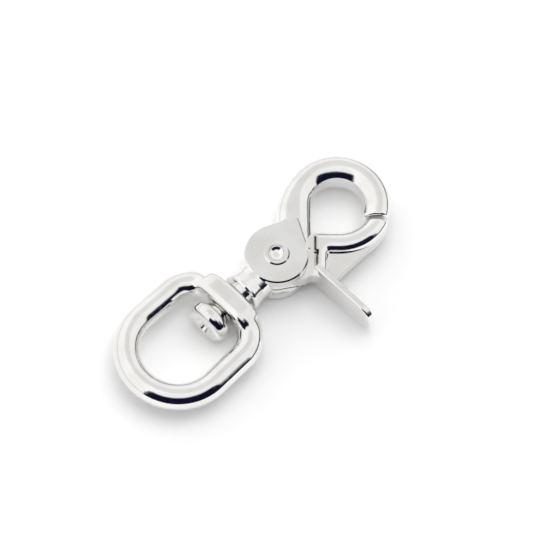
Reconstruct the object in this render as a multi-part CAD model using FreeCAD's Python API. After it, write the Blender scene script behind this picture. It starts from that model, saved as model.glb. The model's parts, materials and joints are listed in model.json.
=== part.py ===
"""Scissor snap hook with a swivel strap eye.

The long axis runs along X from the eye to the hook, and the hook lies flat with its rivet upright.
Every piece is drawn about the middle plane, with the rivet's axis through the origin.
The finished pieces are then moved together so that the origin is the centre of the footprint, at its base.
"""

import FreeCAD
import Part
import math
import os

V = FreeCAD.Vector
X_AXIS = V(1, 0, 0)
Z_AXIS = V(0, 0, 1)
ORIGIN = V(0, 0, 0)

# Cheeks of the body, which carry the rivet
cheek_radius = 8.4
body_thickness = 10.4
cheek_edge_chamfer = 0.35
teardrop_tip_p = 4.4
teardrop_tip_q = 9.2
teardrop_tip_radius = 1.6

# Slot between the cheeks, where the lever's hub turns
hub_thickness = 4.2
hub_radius = 7.0
slot_side_gap = 0.25
slot_rim_gap = 0.3
slot_rear_x = -6.5

# Fixed hook: its arm and jaw are turned from the long axis by this angle
hook_turn = -45.0
hook_height = 8.8
arm_wall_p = 9.0
arm_width = 8.7
bow_centre_p = 16.25
bow_centre_q = 15.85
bow_width = 6.65
# Shares of the hook's half height and of the bow's width
bow_wall_share = 0.61
bow_crest_share = 0.55
bow_outer_share = 0.42
bow_tip_q = 12.0
bow_tip_round = 0.8

# Neck, shank and peened head that hold the eye
neck_length = 4.6
neck_waist_radius = 5.2
shoulder_radius = 5.6
shoulder_width = 1.0
shoulder_chamfer = 0.4
shank_radius = 3.0
head_thickness = 4.1
head_round = 1.7
head_dimple_radius = 2.6
head_dimple_depth = 0.9

# Swivel eye
eye_inner_width = 19.4
eye_bar_radius = 3.5
eye_side_length = 18.6
eye_side_taper = 1.4
eye_corner_radius = 8.0
bridge_length = 6.9
bridge_height = 11.6
bridge_corner = 2.0
# Shares of the half width, the height and the length, from the bridge's middle outwards
bridge_sections = ((0.0, 1.0, 1.0), (0.46, 0.85, 0.98), (0.9, 0.6, 0.9))
bore_gap = 0.08
bore_overrun = 2.0
bore_chamfer = 0.5
shoulder_gap = 1.3
head_gap = 1.3

# Sprung lever: jaw, web and thumb tab
lever_thickness = 9.6
jaw_edge_round = 2.5
jaw_tip_gap = 1.0
jaw_inner_step = 1.6
jaw_outer_step = 0.5
jaw_wall_p = 9.8
jaw_wall_lean = 1.25
rib_width = 3.9
rib_corner_round = 0.8
plate_edge_inset = 0.08
web_front_gap = 0.35
web_front_q = 6.45
tab_thickness = 1.9
tab_left_x = 4.35
tab_end_y = -29.6
tab_lean = 0.25
tab_end_round = 4.0
tab_edge_round = 0.45
web_rear_round = 2.6
web_leave_angle = -115.0
jaw_tip_round = 1.0

# Rivet through cheeks and hub
rivet_radius = 2.3
rivet_head_radius = 3.4
rivet_head_height = 0.35
rivet_dimple_radius = 2.35
rivet_dimple_depth = 1.35
rivet_floor_radius = 0.5
rivet_cheek_gap = 0.03
rivet_hub_gap = 0.07

# Torsion spring in the hub's recess
spring_wire_radius = 0.35
spring_coil_radius = 4.1
spring_pitch = 0.85
spring_turns = 1.75
spring_leg_reach = 1.0
spring_clearance = 0.15
recess_rim_gap = 0.6
boss_radius = 3.4
lever_travel = 28.0
notch_margin = 8.0

# Sizes that follow from those above
half_body = body_thickness / 2
half_hook = hook_height / 2
half_lever = lever_thickness / 2
half_hub = hub_thickness / 2
half_slot = half_hub + slot_side_gap
slot_radius = hub_radius + slot_rim_gap
bow_inner_radius = bow_centre_p - arm_wall_p
bow_outer_radius = bow_inner_radius + bow_width
head_radius = bridge_height / 2
shoulder_x = -cheek_radius - neck_length
bridge_outer_x = shoulder_x - shoulder_gap
bridge_x = bridge_outer_x - bridge_length / 2
bridge_inner_x = bridge_outer_x - bridge_length
head_x = bridge_inner_x - head_gap
eye_bow_x = bridge_x - eye_side_length
eye_bow_radius = eye_inner_width / 2 + eye_bar_radius
jaw_inner_radius = bow_inner_radius + jaw_inner_step
jaw_outer_radius = bow_outer_radius + jaw_outer_step
jaw_inner_q = bow_centre_q - jaw_inner_radius
jaw_tip_q = bow_tip_q - jaw_tip_gap
tab_middle_x = tab_left_x + tab_thickness / 2
recess_radius = spring_coil_radius + spring_wire_radius + recess_rim_gap
spring_rise = spring_pitch * spring_turns
spring_low_z = half_hub - spring_clearance - spring_rise - spring_wire_radius
recess_floor_z = spring_low_z - spring_wire_radius - spring_clearance


def at(p, q, z=0.0):
    """A point given along (p) and across (q) the turned hook."""
    turn = math.radians(hook_turn)
    return V(p * math.cos(turn) - q * math.sin(turn), p * math.sin(turn) + q * math.cos(turn), z)


def around_bow(radius, degrees):
    """A point on a circle about the bow's centre, the angle counted in the turned hook."""
    angle = math.radians(degrees)
    return at(bow_centre_p + radius * math.cos(angle), bow_centre_q + radius * math.sin(angle))


def line(a, b):
    return Part.LineSegment(a, b).toShape()


def arc(a, b, c):
    return Part.Arc(a, b, c).toShape()


def prism(edges, half_height):
    """A flat outline, thickened evenly about the middle plane."""
    outline = Part.Face(Part.Wire(edges))
    outline.translate(V(0, 0, -half_height))
    return outline.extrude(V(0, 0, 2 * half_height))


def polygon_prism(points, low_z, high_z):
    outline = Part.Face(Part.makePolygon(points + points[:1]))
    outline.translate(V(0, 0, low_z))
    return outline.extrude(V(0, 0, high_z - low_z))


def disc(radius, low_z, high_z):
    return Part.makeCylinder(radius, high_z - low_z, V(0, 0, low_z), Z_AXIS)


def turned_about_x(points):
    """A solid of revolution about the long axis, from (x, radius) corners."""
    corners = [V(x, r, 0) for x, r in points]
    return Part.Face(Part.makePolygon(corners + corners[:1])).revolve(ORIGIN, X_AXIS, 360)


def level_edges(solid, half_height):
    """The edges that lie in the top or the bottom face."""
    found = []
    for edge in solid.Edges:
        box = edge.BoundBox
        level = box.ZLength < 1e-6
        if level and abs(abs(box.ZMin) - half_height) < 1e-6:
            found.append(edge)
    return found


def edges_facing(solid, way, distance):
    """The edges of the flat face square to a direction, at this distance along it."""
    for face in solid.Faces:
        square = abs(abs(face.normalAt(0, 0).dot(way)) - 1) < 1e-6
        if square and abs(face.CenterOfMass.dot(way) - distance) < 1e-3:
            return face.Edges
    return []


# Swivel eye

def rounded_section(x, y, half_x, half_z, corner):
    """A rounded rectangle across the bridge, at one place along it."""
    a = half_x - corner
    b = half_z - corner
    k = corner * math.sqrt(0.5)

    def point(dx, dz):
        return V(x + dx, y, dz)

    edges = [
        line(point(-a, half_z), point(a, half_z)),
        arc(point(a, half_z), point(a + k, b + k), point(half_x, b)),
        line(point(half_x, b), point(half_x, -b)),
        arc(point(half_x, -b), point(a + k, -b - k), point(a, -half_z)),
        line(point(a, -half_z), point(-a, -half_z)),
        arc(point(-a, -half_z), point(-a - k, -b - k), point(-half_x, -b)),
        line(point(-half_x, -b), point(-half_x, b)),
        arc(point(-half_x, b), point(-a - k, b + k), point(-a, half_z)),
    ]
    return Part.Wire(edges)


def make_eye_ring():
    """The D shaped bar, swept along its middle line."""
    t = math.radians(eye_side_taper)
    side_start = V(eye_bow_x + eye_bow_radius * math.sin(t), eye_bow_radius * math.cos(t), 0)
    corner_x = bridge_x - eye_corner_radius
    drop = (eye_corner_radius + (corner_x - side_start.x) * math.sin(t)) / math.cos(t)
    corner_y = side_start.y - drop

    def on_corner(angle):
        x = corner_x + eye_corner_radius * math.sin(angle)
        y = corner_y + eye_corner_radius * math.cos(angle)
        return V(x, y, 0)

    def across(v):
        return V(v.x, -v.y, v.z)

    side_end = on_corner(t)
    corner_mid = on_corner(math.pi / 4)
    bridge_end = V(bridge_x, corner_y, 0)
    bow_mid = V(eye_bow_x - eye_bow_radius, 0, 0)

    path = Part.Wire([
        arc(side_start, bow_mid, across(side_start)),
        line(across(side_start), across(side_end)),
        arc(across(side_end), across(corner_mid), across(bridge_end)),
        line(across(bridge_end), bridge_end),
        arc(bridge_end, corner_mid, side_end),
        line(side_end, side_start),
    ])
    start_direction = V(-math.cos(t), math.sin(t), 0)
    bar = Part.Wire(Part.makeCircle(eye_bar_radius, side_start, start_direction))
    return path.makePipeShell([bar], True, True)


def make_bridge():
    """The thick middle of the eye, which blends down into the bar at both ends."""
    half_width = eye_inner_width / 2
    sections = []
    for side in (-1, 1):
        outwards = bridge_sections if side == 1 else bridge_sections[:0:-1]
        for place, height, length in outwards:
            half_x = length * bridge_length / 2
            half_z = height * bridge_height / 2
            y = side * place * half_width
            sections.append(rounded_section(bridge_inner_x + half_x, y, half_x, half_z, height * bridge_corner))
    return Part.makeLoft(sections, True, False)


def make_swivel_eye():
    bore_radius = shank_radius + bore_gap
    bore_start = V(bridge_inner_x - bore_overrun, 0, 0)
    bore = Part.makeCylinder(bore_radius, bridge_length + 2 * bore_overrun, bore_start, X_AXIS)
    mouth = bore_radius + bore_chamfer
    outer_start = V(bridge_outer_x - bore_chamfer, 0, 0)
    inner_start = V(bridge_inner_x, 0, 0)
    outer_mouth = Part.makeCone(bore_radius, mouth, bore_chamfer, outer_start, X_AXIS)
    inner_mouth = Part.makeCone(mouth, bore_radius, bore_chamfer, inner_start, X_AXIS)
    eye = make_eye_ring().fuse(make_bridge())
    return eye.cut(bore).cut(outer_mouth).cut(inner_mouth)


# Hook body

def make_cheek_block():
    """The round end and its teardrop point, before the slot is cut."""
    distance = math.hypot(teardrop_tip_p, teardrop_tip_q)
    middle = math.atan2(teardrop_tip_q, teardrop_tip_p)
    spread = math.acos((cheek_radius - teardrop_tip_radius) / distance)

    def big(angle):
        return at(cheek_radius * math.cos(angle), cheek_radius * math.sin(angle))

    def small(angle):
        p = teardrop_tip_p + teardrop_tip_radius * math.cos(angle)
        q = teardrop_tip_q + teardrop_tip_radius * math.sin(angle)
        return at(p, q)

    left = middle + spread
    right = middle - spread
    block = prism([
        line(big(left), small(left)),
        arc(small(left), small(middle), small(right)),
        line(small(right), big(right)),
        arc(big(right), big(middle + math.pi), big(left)),
    ], half_body)
    return block.makeChamfer(cheek_edge_chamfer, level_edges(block, half_body))


def hook_section(wall_point, outward, width):
    """The hook's bar cut across: a low inner wall, a crown that rises from it and a rounded outer side."""
    h = half_hook
    wall = bow_wall_share * h
    crest = bow_crest_share * bow_width
    r = bow_outer_share * bow_width
    k = r * (1 - math.sqrt(0.5))
    crown_radius = (crest ** 2 + (h - wall) ** 2) / (2 * (h - wall))
    half_angle = math.asin(crest / crown_radius) / 2
    crown_s = crest - crown_radius * math.sin(half_angle)
    crown_z = h - crown_radius * (1 - math.cos(half_angle))

    def point(s, z):
        return wall_point + outward * s + V(0, 0, z)

    return Part.Wire([
        line(point(0, -wall), point(0, wall)),
        arc(point(0, wall), point(crown_s, crown_z), point(crest, h)),
        line(point(crest, h), point(width - r, h)),
        arc(point(width - r, h), point(width - k, h - k), point(width, h - r)),
        line(point(width, h - r), point(width, r - h)),
        arc(point(width, r - h), point(width - k, k - h), point(width - r, -h)),
        line(point(width - r, -h), point(crest, -h)),
        arc(point(crest, -h), point(crown_s, -crown_z), point(0, -wall)),
    ])


def make_hook_arm():
    """The arm leaves the cheeks wide and narrows into the bow."""
    straight = at(-1, 0)
    sections = []
    for q in (3.0, 10.0):
        sections.append(hook_section(at(arm_wall_p, q), straight, arm_width))
    for degrees, share in ((180, 0.8), (162, 0.3), (145, 0.0)):
        width = bow_width + (arm_width - bow_width) * share
        wall_point = around_bow(bow_inner_radius, degrees)
        outward = around_bow(1, degrees) - around_bow(0, degrees)
        sections.append(hook_section(wall_point, outward, width))
    return Part.makeLoft(sections, True, False)


def make_hook_bow():
    """The bow turns about its own centre and is cut off square at the tip."""
    wall_point = around_bow(bow_inner_radius, 145)
    outward = around_bow(1, 145) - around_bow(0, 145)
    section = Part.Face(hook_section(wall_point, outward, bow_width))
    bow = section.revolve(around_bow(0, 0), Z_AXIS, -190)
    beyond = polygon_prism([
        at(bow_centre_p, bow_tip_q),
        at(bow_centre_p + 2 * bow_outer_radius, bow_tip_q),
        at(bow_centre_p + 2 * bow_outer_radius, bow_tip_q - 2 * bow_outer_radius),
        at(bow_centre_p, bow_tip_q - 2 * bow_outer_radius),
    ], -body_thickness, body_thickness)
    bow = bow.cut(beyond)
    return bow.makeFillet(bow_tip_round, edges_facing(bow, at(0, 1), bow_tip_q))


def make_neck_and_head():
    """Shoulder, waist, shank and the head peened over inside the eye."""
    waist_x = shoulder_x + shoulder_width
    root_x = slot_rear_x + 1.0
    neck = turned_about_x([
        (shoulder_x, 0),
        (shoulder_x, shoulder_radius - shoulder_chamfer),
        (shoulder_x + shoulder_chamfer, shoulder_radius),
        (waist_x, shoulder_radius),
        (-cheek_radius - 1.2, neck_waist_radius),
        (root_x, neck_waist_radius),
        (root_x, 0),
    ])
    shank = Part.makeCylinder(shank_radius, shoulder_x - head_x + 1, V(head_x, 0, 0), X_AXIS)
    head = Part.makeCylinder(head_radius, head_thickness, V(head_x - head_thickness, 0, 0), X_AXIS)
    rims = [edge for edge in head.Edges if edge.BoundBox.XLength < 1e-6]
    head = head.makeFillet(head_round, rims)
    dimple = Part.makeCone(head_dimple_radius, head_dimple_radius - head_dimple_depth, head_dimple_depth,
                           V(head_x - head_thickness, 0, 0), X_AXIS)
    return neck.fuse(shank).fuse(head.cut(dimple))


def make_slot():
    """The room between the cheeks, open on the lever's side."""
    round_room = disc(slot_radius, -half_slot, half_slot)
    far = 4 * cheek_radius
    open_room = polygon_prism([
        V(slot_rear_x, -1, 0),
        V(slot_rear_x, -far, 0),
        at(far, -far),
        at(far, web_front_q + web_front_gap),
        at(3, web_front_q + web_front_gap),
    ], -half_slot, half_slot)
    return round_room.fuse(open_room)


def make_hook_body():
    rivet_hole = disc(rivet_radius + rivet_cheek_gap, -body_thickness, body_thickness)
    leg_hole = Part.makeCylinder(spring_wire_radius + spring_clearance, spring_leg_reach + 0.4,
                                 V(-slot_radius + 0.2, 0, spring_low_z + spring_rise), V(-1, 0, 0))
    front = make_cheek_block().fuse(make_hook_arm()).fuse(make_hook_bow())
    whole = front.fuse(make_neck_and_head())
    return whole.cut(make_slot()).cut(rivet_hole).cut(leg_hole)


# Sprung lever

def make_jaw():
    """The jaw's bar and the rib that carries the thumb tab, well rounded along their edges."""
    tip_drop = bow_centre_q - jaw_tip_q
    inner_end = at(bow_centre_p + math.sqrt(jaw_inner_radius ** 2 - tip_drop ** 2), jaw_tip_q)
    outer_start = at(bow_centre_p + math.sqrt(jaw_outer_radius ** 2 - tip_drop ** 2), jaw_tip_q)
    outer_end = around_bow(jaw_outer_radius, -90)
    inner_start = around_bow(jaw_inner_radius, -90)
    corner = at(jaw_wall_p, jaw_inner_q)
    r = rib_corner_round
    k = r * (1 - math.sqrt(0.5))
    rib_p = jaw_wall_p + rib_width
    bar_q = bow_centre_q - jaw_outer_radius
    rib_foot = V(tab_middle_x, tab_middle_x - rib_p * math.sqrt(2), 0)
    jaw = prism([
        line(corner, inner_start),
        arc(inner_start, around_bow(jaw_inner_radius, -55), inner_end),
        line(inner_end, outer_start),
        arc(outer_start, around_bow(jaw_outer_radius, -55), outer_end),
        line(outer_end, at(rib_p + r, bar_q)),
        arc(at(rib_p + r, bar_q), at(rib_p + k, bar_q - k), at(rib_p, bar_q - r)),
        line(at(rib_p, bar_q - r), rib_foot),
        line(rib_foot, wall_foot()),
        line(wall_foot(), corner),
    ], half_lever)
    rims = []
    for edge in level_edges(jaw, half_lever):
        middle = edge.CenterOfMass
        on_wall = abs(middle.dot(at(1, 0)) - jaw_wall_p) < 1e-6
        on_tip = abs(middle.dot(at(0, 1)) - jaw_tip_q) < 1e-6
        in_tab = middle.x < tab_middle_x
        if not on_wall and not on_tip and not in_tab:
            rims.append(edge)
    jaw = jaw.makeFillet(jaw_edge_round, rims)
    jaw = jaw.makeFillet(jaw_tip_round, edges_facing(jaw, at(0, 1), jaw_tip_q))
    return jaw.cut(make_wall_lean())


def make_plate():
    """The thin plate that fills the corner between the jaw's bar, the rib and the thumb tab."""
    edge_y = around_bow(jaw_outer_radius, -90 - hook_turn).y + plate_edge_inset
    middle_radius = (jaw_inner_radius + jaw_outer_radius) / 2
    inside_bar = around_bow(middle_radius, -90 - hook_turn)
    return polygon_prism([
        V(inside_bar.x, edge_y, 0),
        inside_bar,
        around_bow(middle_radius, -90),
        at(jaw_wall_p + rib_width / 2, jaw_inner_q - 1),
        V(tab_middle_x, wall_foot().y, 0),
        V(tab_middle_x, edge_y, 0),
    ], -half_hub, half_hub)


def wall_foot():
    """Where the jaw's flat inner wall meets the thumb tab."""
    turn = math.radians(hook_turn)
    return V(tab_left_x, (tab_left_x * math.cos(turn) - jaw_wall_p) / -math.sin(turn), 0)


def make_wall_lean():
    """Wedges that lean the wall beside the cheeks back from the web, above and below it."""
    far = 3 * jaw_inner_q
    wedges = []
    for side in (1, -1):
        foot = at(jaw_wall_p, -far, side * half_hub)
        top = at(jaw_wall_p + jaw_wall_lean, -far, side * (half_lever + 0.01))
        outside = at(jaw_wall_p - 1, -far, side * (half_lever + 0.01))
        outside_foot = at(jaw_wall_p - 1, -far, side * half_hub)
        wedge = Part.Face(Part.makePolygon([foot, top, outside, outside_foot, foot]))
        wedges.append(wedge.extrude(at(0, 2 * far)))
    return wedges[0].fuse(wedges[1])


def make_thumb_tab():
    """A thin plate across the hook, with a rounded end."""
    root_y = wall_foot().y
    right_x = tab_left_x + tab_thickness
    plate = polygon_prism([
        V(tab_left_x, root_y, 0),
        V(tab_left_x + tab_lean, tab_end_y, 0),
        V(right_x + tab_lean, tab_end_y, 0),
        V(right_x, root_y, 0),
    ], -half_lever, half_lever)
    far = 2 * tab_thickness
    low_corner = V(tab_left_x - 2 * far, tab_end_y, -half_lever)
    side = Part.makeBox(4 * far, root_y - tab_end_y, lever_thickness, low_corner)
    corners = []
    for edge in side.Edges:
        if edge.BoundBox.XLength > far and abs(edge.CenterOfMass.y - tab_end_y) < 1e-6:
            corners.append(edge)
    plate = plate.common(side.makeFillet(tab_end_round, corners))
    rims = []
    for edge in plate.Edges:
        if edge.BoundBox.XLength < tab_thickness / 2 and edge.CenterOfMass.y < root_y - 1:
            rims.append(edge)
    return plate.makeFillet(tab_edge_round, rims)


def make_web():
    """The thin middle of the lever: the hub and the neck that joins it to the jaw."""
    bend_y = wall_foot().y - web_rear_round
    bend_x = tab_left_x - web_rear_round
    k = web_rear_round * math.sqrt(0.5)
    leave = math.radians(web_leave_angle)
    hub_point = V(hub_radius * math.cos(leave), hub_radius * math.sin(leave), 0)
    web = prism([
        line(at(0, web_front_q), at(jaw_wall_p + 2, web_front_q)),
        line(at(jaw_wall_p + 2, web_front_q), V(tab_middle_x, bend_y, 0)),
        line(V(tab_middle_x, bend_y, 0), V(tab_left_x, bend_y, 0)),
        arc(V(tab_left_x, bend_y, 0), V(bend_x + k, bend_y + k, 0), V(bend_x, bend_y + web_rear_round, 0)),
        line(V(bend_x, bend_y + web_rear_round, 0), hub_point),
        line(hub_point, at(0, web_front_q)),
    ], half_hub)
    return disc(hub_radius, -half_hub, half_hub).fuse(web)


def make_spring_room():
    """The ring shaped recess for the coil, the notch for one leg and the pocket for the other."""
    top = half_hub + 1
    recess = disc(recess_radius, recess_floor_z, top).cut(disc(boss_radius, recess_floor_z, top))
    notch_floor = spring_low_z + spring_rise - spring_wire_radius - spring_clearance
    sweep = lever_travel + 2 * notch_margin
    notch = Part.makeCylinder(hub_radius + 1, top - notch_floor, V(0, 0, notch_floor), Z_AXIS, sweep)
    notch.rotate(ORIGIN, Z_AXIS, 180 - notch_margin)
    notch = notch.cut(disc(boss_radius, notch_floor, top))
    half_pocket = spring_wire_radius + spring_clearance
    pocket = Part.makeBox(2 * half_pocket, spring_leg_reach + 0.6, top - recess_floor_z,
                          V(-half_pocket, -recess_radius - spring_leg_reach - 0.1, recess_floor_z))
    return recess.fuse(notch).fuse(pocket)


def make_trigger_lever():
    bore = disc(rivet_radius + rivet_hub_gap, -half_hub - 1, half_hub + 1)
    lever = make_jaw().fuse(make_plate()).fuse(make_thumb_tab()).fuse(make_web())
    return lever.cut(make_spring_room()).cut(bore)


# Rivet and spring

def make_pivot_rivet():
    """A rivet with a low head and a punched bowl at each end."""
    top = half_body + rivet_head_height
    floor = top - rivet_dimple_depth
    reach = rivet_dimple_radius - rivet_floor_radius
    bowl_radius = (reach ** 2 + rivet_dimple_depth ** 2) / (2 * rivet_dimple_depth)
    half_angle = math.asin(reach / bowl_radius) / 2
    bowl_middle = V(rivet_floor_radius + bowl_radius * math.sin(half_angle), 0,
                    floor + bowl_radius * (1 - math.cos(half_angle)))
    corners = [
        V(0, 0, floor),
        V(rivet_floor_radius, 0, floor),
        V(rivet_dimple_radius, 0, top),
        V(rivet_head_radius - rivet_head_height, 0, top),
        V(rivet_head_radius, 0, half_body),
        V(rivet_radius, 0, half_body),
    ]

    def mirrored(v):
        return V(v.x, 0, -v.z)

    outline = [line(corners[0], corners[1]), arc(corners[1], bowl_middle, corners[2])]
    for a, b in zip(corners[2:], corners[3:]):
        outline.append(line(a, b))
    outline.append(line(corners[-1], mirrored(corners[-1])))
    for a, b in zip(corners[:2:-1], corners[-2:1:-1]):
        outline.append(line(mirrored(a), mirrored(b)))
    outline.append(arc(mirrored(corners[2]), mirrored(bowl_middle), mirrored(corners[1])))
    outline.append(line(mirrored(corners[1]), mirrored(corners[0])))
    outline.append(line(mirrored(corners[0]), corners[0]))
    return Part.Face(Part.Wire(outline)).revolve(ORIGIN, Z_AXIS, 360)


def make_torsion_spring():
    """A short coil round the rivet; one leg pushes the lever, the other is held in the body."""
    quarters = round(4 * spring_turns)
    first_angle = math.pi - 2 * math.pi * spring_turns

    def on_coil(eighths):
        angle = first_angle + eighths * math.pi / 4
        height = spring_low_z + spring_rise * eighths / (2 * quarters)
        return V(spring_coil_radius * math.cos(angle), spring_coil_radius * math.sin(angle), height)

    climb = []
    for i in range(quarters):
        climb.append(arc(on_coil(2 * i), on_coil(2 * i + 1), on_coil(2 * i + 2)))
    start_way = V(math.cos(first_angle), math.sin(first_angle), 0)
    start_wire = Part.makeCircle(spring_wire_radius, on_coil(0), Z_AXIS.cross(start_way))
    spring = Part.Wire(climb).makePipeShell([Part.Wire(start_wire)], True, True)
    inner = spring_coil_radius - spring_wire_radius
    legs = [
        (start_way, spring_low_z, recess_radius + spring_leg_reach - 0.1),
        (V(-1, 0, 0), spring_low_z + spring_rise, slot_radius + spring_leg_reach),
    ]
    for way, height, reach in legs:
        start = way * inner + V(0, 0, height)
        spring = spring.fuse(Part.makeCylinder(spring_wire_radius, reach - inner, start, way))
    return spring


def make_all():
    return {
        "swivel_eye": make_swivel_eye(),
        "hook_body": make_hook_body(),
        "trigger_lever": make_trigger_lever(),
        "pivot_rivet": make_pivot_rivet(),
        "torsion_spring": make_torsion_spring(),
    }


def base_centre():
    """The centre of the footprint, at the lowest point of the piece that it rests on."""
    low_x = eye_bow_x - eye_bow_radius - eye_bar_radius
    high_x = around_bow(0, 0).x + bow_outer_radius
    low_y = tab_end_y
    high_y = eye_bow_radius + eye_bar_radius
    depth = max(bridge_height / 2, head_radius, half_body + rivet_head_height, half_lever)
    return V((low_x + high_x) / 2, (low_y + high_y) / 2, -depth)


def main():
    os.makedirs("parts", exist_ok=True)
    for name, shape in make_all().items():
        shape.translate(-base_centre())
        shape.exportStep("parts/" + name + ".step")


main()
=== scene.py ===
"""A nickel plated scissor snap hook, lying on a white table in a small photo studio."""

import json
import math

import bpy
from mathutils import Matrix, Vector


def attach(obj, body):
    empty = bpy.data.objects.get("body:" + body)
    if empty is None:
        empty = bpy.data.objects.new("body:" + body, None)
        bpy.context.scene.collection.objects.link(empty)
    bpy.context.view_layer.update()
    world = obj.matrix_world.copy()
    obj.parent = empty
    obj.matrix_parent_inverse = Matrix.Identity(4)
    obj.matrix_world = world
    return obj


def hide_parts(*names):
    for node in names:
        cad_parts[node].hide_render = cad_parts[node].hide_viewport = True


MM = 0.001

# Camera, as the photograph has it
frame_px = 550
px_per_mm = 3.85
pivot_px = Vector((275.5, 261.7))
camera_elevation = math.radians(65.0)
camera_roll = math.radians(-8.0)
swivel_axis_turn = math.radians(52.8)
lens_mm = 600.0
sensor_mm = 36.0

# Table
floor_half_size = 2.5
floor_shade = 0.96
floor_roughness = 0.9
floor_glow = 0.08

# Walls of the room that the metal mirrors. All places in the room are azimuths and elevations in degrees
room_bright = 1.06
room_side = 0.96
bright_side = (40.0, 80.0)

# Greyer patch of the ceiling, which the level faces mirror. Its edge is the cosine of the angle from its middle
ceiling_patch = (37.0, 65.0)
ceiling_shade = 0.84
ceiling_edge = (0.90, 0.99)

# Dark strip along the horizon, weaker on the far side
horizon_edge = (15.0, 7.0)
horizon_shade = 0.04
horizon_far_shade = 0.80
horizon_far_side = (0.0, 40.0)

# Dark opening behind the camera. Each edge goes from bright to dark
room_dark = (0.006, 0.006, 0.022)
dark_left_edge = (-188.0, -174.0)
dark_right_edge = (-63.0, -69.0)
dark_low_edge = (-6.0, 2.0)
dark_high_edge = (63.0, 51.0)

# Softbox, which lights the table and isn't mirrored
softbox_azimuth = 18.0
softbox_elevation = 76.0
softbox_distance = 0.8
softbox_size = 0.60
softbox_power = 2.1

# Eye: its axis, and the bridge's height as the plain solid has it, a crown with straight flanks
eye_axis = Vector((0.0, 6.45, 5.8)) * MM
bridge_half = 5.8 * MM
bar_half = 3.5 * MM
plain_curve = 44.5
plain_bend_y = 4.5 * MM
plain_slope = 0.365

# Bridge as it is cast, with a flatter crown that drops to the bar in a round. The y places are from the axis
crown_curve = 12.0
drop_start_y = 6.0 * MM
drop_end_y = 11.0 * MM
bridge_side_x = -17.0 * MM
bridge_free_x = -12.5 * MM

# Smoothing of the casting, away from its bore. The bore shares are of its radius
eye_voxel = 0.22 * MM
smooth_factor = 0.5
even_rounds = 5
blend_rounds = 70
blend_start_y = 1.0 * MM
blend_full_y = 4.0 * MM
blend_back_y = 10.0 * MM
blend_end_y = 13.0 * MM
bore_radius = 3.08 * MM
bore_reach = 1.15
bore_keep = 1.25
bore_clear = 1.3
bore_free = 1.65
bore_start_x = -12.9 * MM
bore_end_x = -6.1 * MM

# Tones of the metal
nickel_light = (0.90, 0.895, 0.885)
nickel_warm = (0.83, 0.82, 0.795)
wear_tone = (0.94, 0.93, 0.91)
steel_light = (0.60, 0.60, 0.61)
steel_dark = (0.40, 0.40, 0.42)

# Polish of each piece, as its lowest and highest roughness, and the depth of its ripples
body_polish = (0.07, 0.16)
eye_polish = (0.06, 0.14)
lever_polish = (0.08, 0.18)
rivet_polish = (0.10, 0.20)
wire_polish = (0.25, 0.40)
cast_ripple = 0.018 * MM
turned_ripple = 0.006 * MM
wire_ripple = 0.004 * MM

# Detail of the metal's surface
cloud_size = 9 * MM
speck_size = 0.7 * MM
peel_size = 3.2 * MM
hair_size = 2.2 * MM
hair_stretch = (1.0, 9.0, 9.0)
hair_turn = (0.0, 0.3, 0.7)
hair_depth = 0.004 * MM
hair_strength = 0.35
edge_width = 0.35 * MM
edge_samples = 6
edge_tone_share = 0.7
edge_dulling = 0.06


def add(tree, kind, inputs=None, **settings):
    """A new node, with sockets or values put on its inputs."""
    made = tree.nodes.new(kind)
    for key, value in settings.items():
        setattr(made, key, value)
    for key, value in (inputs or {}).items():
        if isinstance(value, bpy.types.NodeSocket):
            tree.links.new(value, made.inputs[key])
        else:
            made.inputs[key].default_value = value
    return made


def maths(tree, operation, *values):
    made = add(tree, "ShaderNodeMath", dict(enumerate(values)), operation=operation)
    return made.outputs[0]


def dot(tree, first, second):
    made = add(tree, "ShaderNodeVectorMath", {0: first, 1: second}, operation="DOT_PRODUCT")
    return made.outputs["Value"]


def smooth_step(tree, value, start, end, low=0.0, high=1.0):
    """Goes smoothly from low to high while the value goes from start to end."""
    sockets = {"Value": value, "From Min": start, "From Max": end, "To Min": low, "To Max": high}
    return add(tree, "ShaderNodeMapRange", sockets, interpolation_type="SMOOTHSTEP").outputs[0]


def noise(tree, place, size, detail=2.0, roughness=0.5):
    """Cloudy noise whose patches are about this many metres wide."""
    sockets = {"Vector": place, "Scale": 1.0 / size, "Detail": detail, "Roughness": roughness}
    return add(tree, "ShaderNodeTexNoise", sockets).outputs[0]


def mixed(tree, share, first, second):
    """A blend of two colours, each a socket or a tuple."""
    made = add(tree, "ShaderNodeMix", data_type="RGBA")
    for socket, value in ((made.inputs[0], share), (made.inputs[6], first), (made.inputs[7], second)):
        if isinstance(value, bpy.types.NodeSocket):
            tree.links.new(value, socket)
        elif isinstance(value, tuple):
            socket.default_value = (*value, 1.0)
        else:
            socket.default_value = value
    return made.outputs[2]


# Metal

def edge_mask(tree):
    """Near 1 on sharp edges and 0 on open surfaces."""
    rounded = add(tree, "ShaderNodeBevel", {"Radius": edge_width}, samples=edge_samples).outputs[0]
    plain = add(tree, "ShaderNodeNewGeometry").outputs["Normal"]
    return smooth_step(tree, dot(tree, rounded, plain), 0.995, 0.90)


def cloudy_tone(tree, place, light, warm, edges):
    clouds = noise(tree, place, cloud_size, 3.0)
    tone = mixed(tree, smooth_step(tree, clouds, 0.35, 0.65), light, warm)
    return mixed(tree, maths(tree, "MULTIPLY", edges, edge_tone_share), tone, wear_tone)


def uneven_polish(tree, place, polish, edges):
    specks = noise(tree, place, speck_size, 2.0, 0.6)
    dulled = smooth_step(tree, specks, 0.4, 0.75, *polish)
    return maths(tree, "MULTIPLY_ADD", edges, edge_dulling, dulled)


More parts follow.
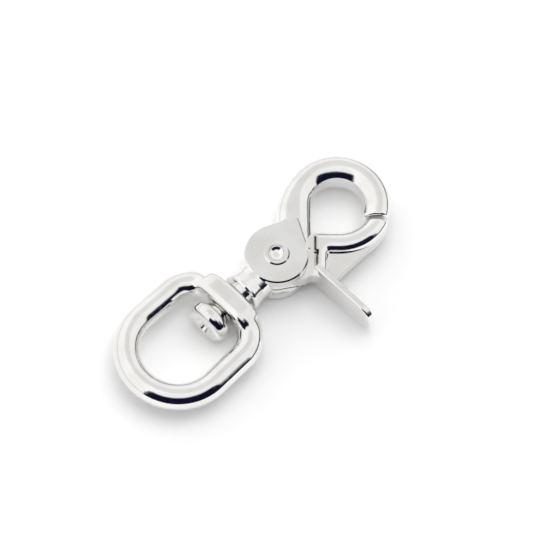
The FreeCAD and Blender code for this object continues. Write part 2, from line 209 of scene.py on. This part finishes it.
def ripples_and_hairlines(tree, place, ripple):
    stretched = add(tree, "ShaderNodeMapping", {"Vector": place, "Scale": hair_stretch, "Rotation": hair_turn})
    hairs = noise(tree, stretched.outputs[0], hair_size, 4.0, 0.7)
    peel = noise(tree, place, peel_size, 1.0)
    waves = add(tree, "ShaderNodeBump", {"Height": peel, "Distance": ripple, "Strength": 1.0})
    sockets = {"Height": hairs, "Distance": hair_depth, "Strength": hair_strength, "Normal": waves.outputs[0]}
    return add(tree, "ShaderNodeBump", sockets).outputs[0]


def metal(name, light, warm, polish, ripple):
    """Plated metal: cloudy tone, uneven polish, faint ripples, hairline scratches and rubbed edges."""
    material = bpy.data.materials.new(name)
    material.use_nodes = True
    tree = material.node_tree
    shader = tree.nodes["Principled BSDF"]
    place = add(tree, "ShaderNodeTexCoord").outputs["Object"]
    edges = edge_mask(tree)
    tree.links.new(cloudy_tone(tree, place, light, warm, edges), shader.inputs["Base Color"])
    tree.links.new(uneven_polish(tree, place, polish, edges), shader.inputs["Roughness"])
    tree.links.new(ripples_and_hairlines(tree, place, ripple), shader.inputs["Normal"])
    shader.inputs["Metallic"].default_value = 1.0
    return material


def dress(node, material):
    for slot in frame["nodes"][node].material_slots:
        slot.material = material


def dress_the_snap():
    dress("hook_body", metal("body_nickel", nickel_light, nickel_warm, body_polish, cast_ripple))
    make_eye_casting(metal("eye_nickel", nickel_light, nickel_warm, eye_polish, cast_ripple))
    dress("trigger_lever", metal("lever_nickel", nickel_light, nickel_warm, lever_polish, cast_ripple))
    dress("pivot_rivet", metal("rivet_nickel", nickel_light, nickel_warm, rivet_polish, turned_ripple))
    dress("torsion_spring", metal("spring_steel_wire", steel_light, steel_dark, wire_polish, wire_ripple))


# Eye casting

def settled(piece):
    """Puts a piece's modifiers into its mesh."""
    bpy.context.view_layer.update()
    shaped = piece.evaluated_get(bpy.context.evaluated_depsgraph_get())
    piece.data = bpy.data.meshes.new_from_object(shaped)
    piece.modifiers.clear()


def rising(value, start, end):
    """Goes smoothly from 0 to 1 while the value goes from start to end."""
    share = min(max((value - start) / (end - start), 0.0), 1.0)
    return share * share * (3.0 - 2.0 * share)


def radius_of(place):
    return math.hypot(place.y - eye_axis.y, place.z - eye_axis.z)


def plain_height(across):
    """Half the height of the plain solid's bridge, at this distance along it from the axis."""
    if across < plain_bend_y:
        return bridge_half - plain_curve * across ** 2
    flank = plain_slope * (across - plain_bend_y)
    return max(bridge_half - plain_curve * plain_bend_y ** 2 - flank, bar_half)


def cast_height(across):
    """Half the height of the cast bridge, which stays high for longer."""
    top = bridge_half - crown_curve * across ** 2
    return bar_half + (top - bar_half) * (1.0 - rising(across, drop_start_y, drop_end_y))


def cast_z(place):
    """Where a point of the plain solid lies in height on the cast bridge."""
    across = abs(place.y - eye_axis.y)
    lift = cast_height(across) / plain_height(across) - 1.0
    above = (place.z - eye_axis.z) * (1.0 + lift * rising(place.x, bridge_side_x, bridge_free_x))
    return eye_axis.z + min(max(above, -bridge_half), bridge_half)


def blend_share(place):
    """How much a point of the eye is smoothed: fully on the bridge's flanks, and not at its bore or bow."""
    if place.x < bridge_side_x:
        return 0.0
    across = abs(place.y - eye_axis.y)
    away = rising(radius_of(place) / bore_radius, bore_keep, bore_free)
    back = rising(across, blend_back_y, blend_end_y)
    return away * rising(across, blend_start_y, blend_full_y) * (1.0 - back)


def raise_the_bridge(piece):
    """Moves the bridge's surface to its cast height, and notes how much each point will be smoothed."""
    flanks = piece.vertex_groups.new(name="bridge_flanks")
    away_from_bore = piece.vertex_groups.new(name="away_from_bore")
    for vertex in piece.data.vertices:
        vertex.co.z = cast_z(vertex.co)
        share = blend_share(vertex.co)
        if share > 0.0:
            flanks.add([vertex.index], share, "REPLACE")
        if radius_of(vertex.co) > bore_clear * bore_radius:
            away_from_bore.add([vertex.index], 1.0, "REPLACE")
    return (even_rounds, away_from_bore), (blend_rounds, flanks)


def smooth_the_casting(piece, passes):
    for rounds, group in passes:
        smooth = piece.modifiers.new(group.name, "SMOOTH")
        smooth.factor = smooth_factor
        smooth.iterations = rounds
        smooth.vertex_group = group.name
    settled(piece)
    piece.data.polygons.foreach_set("use_smooth", [True] * len(piece.data.polygons))


def true_the_bore(piece):
    """Puts the points of the bore back on its radius."""
    for vertex in piece.data.vertices:
        place = vertex.co
        if bore_start_x < place.x < bore_end_x and radius_of(place) < bore_reach * bore_radius:
            spoke = Vector((0.0, place.y - eye_axis.y, place.z - eye_axis.z)).normalized() * bore_radius
            vertex.co = Vector((place.x, eye_axis.y + spoke.y, eye_axis.z + spoke.z))


def make_eye_casting(material):
    """The eye with its bridge blended into the bar, round the same bore."""
    piece = bpy.data.objects.new("eye_casting", frame["nodes"]["swivel_eye"].data.copy())
    bpy.context.scene.collection.objects.link(piece)
    even = piece.modifiers.new("even", "REMESH")
    even.mode = "VOXEL"
    even.voxel_size = eye_voxel
    settled(piece)
    smooth_the_casting(piece, raise_the_bridge(piece))
    true_the_bore(piece)
    piece.data.materials.clear()
    piece.data.materials.append(material)
    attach(piece, "eye")
    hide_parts("swivel_eye")


# Studio

def seen_directly(tree):
    """1 for what the camera, gloss or glass sees, and 0 for the light that a surface gets."""
    path = add(tree, "ShaderNodeLightPath")
    seen = maths(tree, "MAXIMUM", path.outputs["Is Camera Ray"], path.outputs["Is Glossy Ray"])
    return maths(tree, "MAXIMUM", seen, path.outputs["Is Transmission Ray"])


def make_floor():
    """A white table. Part of its brightness is its own, so that only the snap's shadow greys it."""
    half = floor_half_size
    corners = [(-half, -half, 0), (half, -half, 0), (half, half, 0), (-half, half, 0)]
    mesh = bpy.data.meshes.new("table_top")
    mesh.from_pydata(corners, [], [(0, 1, 2, 3)])
    floor = bpy.data.objects.new("table_top", mesh)
    bpy.context.scene.collection.objects.link(floor)
    material = bpy.data.materials.new("white_table")
    material.use_nodes = True
    tree = material.node_tree
    shader = tree.nodes["Principled BSDF"]
    shader.inputs["Base Color"].default_value = (floor_shade, floor_shade, floor_shade, 1.0)
    shader.inputs["Roughness"].default_value = floor_roughness
    shader.inputs["Specular IOR Level"].default_value = 0.0
    shader.inputs["Emission Color"].default_value = (1.0, 1.0, 1.0, 1.0)
    glow = maths(tree, "MULTIPLY", seen_directly(tree), floor_glow)
    tree.links.new(glow, shader.inputs["Emission Strength"])
    mesh.materials.append(material)


def direction(azimuth, elevation):
    a = math.radians(azimuth)
    e = math.radians(elevation)
    return Vector((math.cos(a) * math.cos(e), math.sin(a) * math.cos(e), math.sin(e)))


def wall_level(tree, way, azimuth, elevation):
    """How bright the room is: greyer on the near side and in one patch overhead, dark at the horizon."""
    side = smooth_step(tree, azimuth, *bright_side)
    wall = maths(tree, "MULTIPLY_ADD", side, room_bright - room_side, room_side)
    facing = dot(tree, way, direction(*ceiling_patch))
    wall = maths(tree, "MULTIPLY", wall, smooth_step(tree, facing, *ceiling_edge, 1.0, ceiling_shade))
    below = smooth_step(tree, elevation, *horizon_edge)
    depth = smooth_step(tree, azimuth, *horizon_far_side, 1.0 - horizon_shade, 1.0 - horizon_far_shade)
    kept = maths(tree, "SUBTRACT", 1.0, maths(tree, "MULTIPLY", below, depth))
    return maths(tree, "MULTIPLY", wall, kept)


def dark_opening(tree, azimuth, elevation):
    """1 inside the dark opening behind the camera and 0 outside it."""
    across = maths(tree, "MULTIPLY", smooth_step(tree, azimuth, *dark_left_edge),
                   smooth_step(tree, azimuth, *dark_right_edge))
    upright = maths(tree, "MULTIPLY", smooth_step(tree, elevation, *dark_low_edge),
                    smooth_step(tree, elevation, *dark_high_edge))
    return maths(tree, "MULTIPLY", across, upright)


def make_room():
    """The room that the metal mirrors. The camera sees plain white beyond the table."""
    world = bpy.data.worlds.new("studio_room")
    bpy.context.scene.world = world
    world.use_nodes = True
    tree = world.node_tree
    way = add(tree, "ShaderNodeTexCoord").outputs["Generated"]
    parts = add(tree, "ShaderNodeSeparateXYZ", {0: way}).outputs
    degree = 180.0 / math.pi
    azimuth = maths(tree, "MULTIPLY", maths(tree, "ARCTAN2", parts["Y"], parts["X"]), degree)
    elevation = maths(tree, "MULTIPLY", maths(tree, "ARCSINE", parts["Z"]), degree)
    level = wall_level(tree, way, azimuth, elevation)
    grey = add(tree, "ShaderNodeCombineColor", {0: level, 1: level, 2: level}).outputs[0]
    mirrored = mixed(tree, dark_opening(tree, azimuth, elevation), grey, room_dark)
    camera_ray = add(tree, "ShaderNodeLightPath").outputs["Is Camera Ray"]
    seen = mixed(tree, camera_ray, mirrored, (1.0, 1.0, 1.0))
    tree.links.new(seen, tree.nodes["Background"].inputs["Color"])


def make_softbox(centre):
    light = bpy.data.lights.new("softbox", "AREA")
    light.size = softbox_size
    light.energy = softbox_power
    lamp = bpy.data.objects.new("softbox", light)
    away = direction(softbox_azimuth, softbox_elevation)
    lamp.location = centre + away * softbox_distance
    lamp.rotation_euler = away.to_track_quat("Z", "Y").to_euler()
    lamp.visible_glossy = False
    bpy.context.scene.collection.objects.link(lamp)


# Camera

def camera_axes():
    """Right, up and back of the camera, with the part's long axis turned as in the photograph."""
    level_right = Vector((math.cos(swivel_axis_turn), -math.sin(swivel_axis_turn), 0.0))
    ahead = Vector((math.sin(swivel_axis_turn), math.cos(swivel_axis_turn), 0.0))
    level_up = ahead * math.sin(camera_elevation) + Vector((0, 0, math.cos(camera_elevation)))
    right = level_right * math.cos(camera_roll) - level_up * math.sin(camera_roll)
    up = level_right * math.sin(camera_roll) + level_up * math.cos(camera_roll)
    return right, up, right.cross(up)


def make_camera(pivot):
    """A far camera that shows the rivet where the photograph does, at the photograph's scale."""
    right, up, back = camera_axes()
    width = frame_px / px_per_mm * MM
    from_centre = (pivot_px - Vector((frame_px / 2, frame_px / 2))) / px_per_mm * MM
    aim = pivot - right * from_centre.x + up * from_centre.y
    distance = width * lens_mm / sensor_mm
    data = bpy.data.cameras.new("camera")
    data.sensor_width = sensor_mm
    data.lens = lens_mm
    data.clip_start = 0.1 * distance
    data.clip_end = 10 * distance
    camera = bpy.data.objects.new("camera", data)
    turn = Matrix((right, up, back)).transposed()
    camera.matrix_world = Matrix.Translation(aim + back * distance) @ turn.to_4x4()
    bpy.context.scene.collection.objects.link(camera)
    bpy.context.scene.camera = camera


def pivot_place():
    for joint in frame["joints"]:
        if joint["name"] == "lever_pivot":
            return Vector(joint["pos_m"])


with open("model.json") as file:
    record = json.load(file)
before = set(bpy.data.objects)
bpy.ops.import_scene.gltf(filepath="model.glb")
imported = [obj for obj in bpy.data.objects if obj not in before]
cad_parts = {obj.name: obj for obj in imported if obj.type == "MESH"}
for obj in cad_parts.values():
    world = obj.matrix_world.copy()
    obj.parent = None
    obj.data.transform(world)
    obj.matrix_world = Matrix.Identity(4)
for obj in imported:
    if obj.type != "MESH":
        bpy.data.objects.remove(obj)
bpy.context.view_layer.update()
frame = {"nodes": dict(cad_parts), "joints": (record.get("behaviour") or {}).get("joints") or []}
bpy.context.scene.view_settings.view_transform = "Standard"
dress_the_snap()
make_floor()
make_room()
make_softbox(pivot_place())
make_camera(pivot_place())
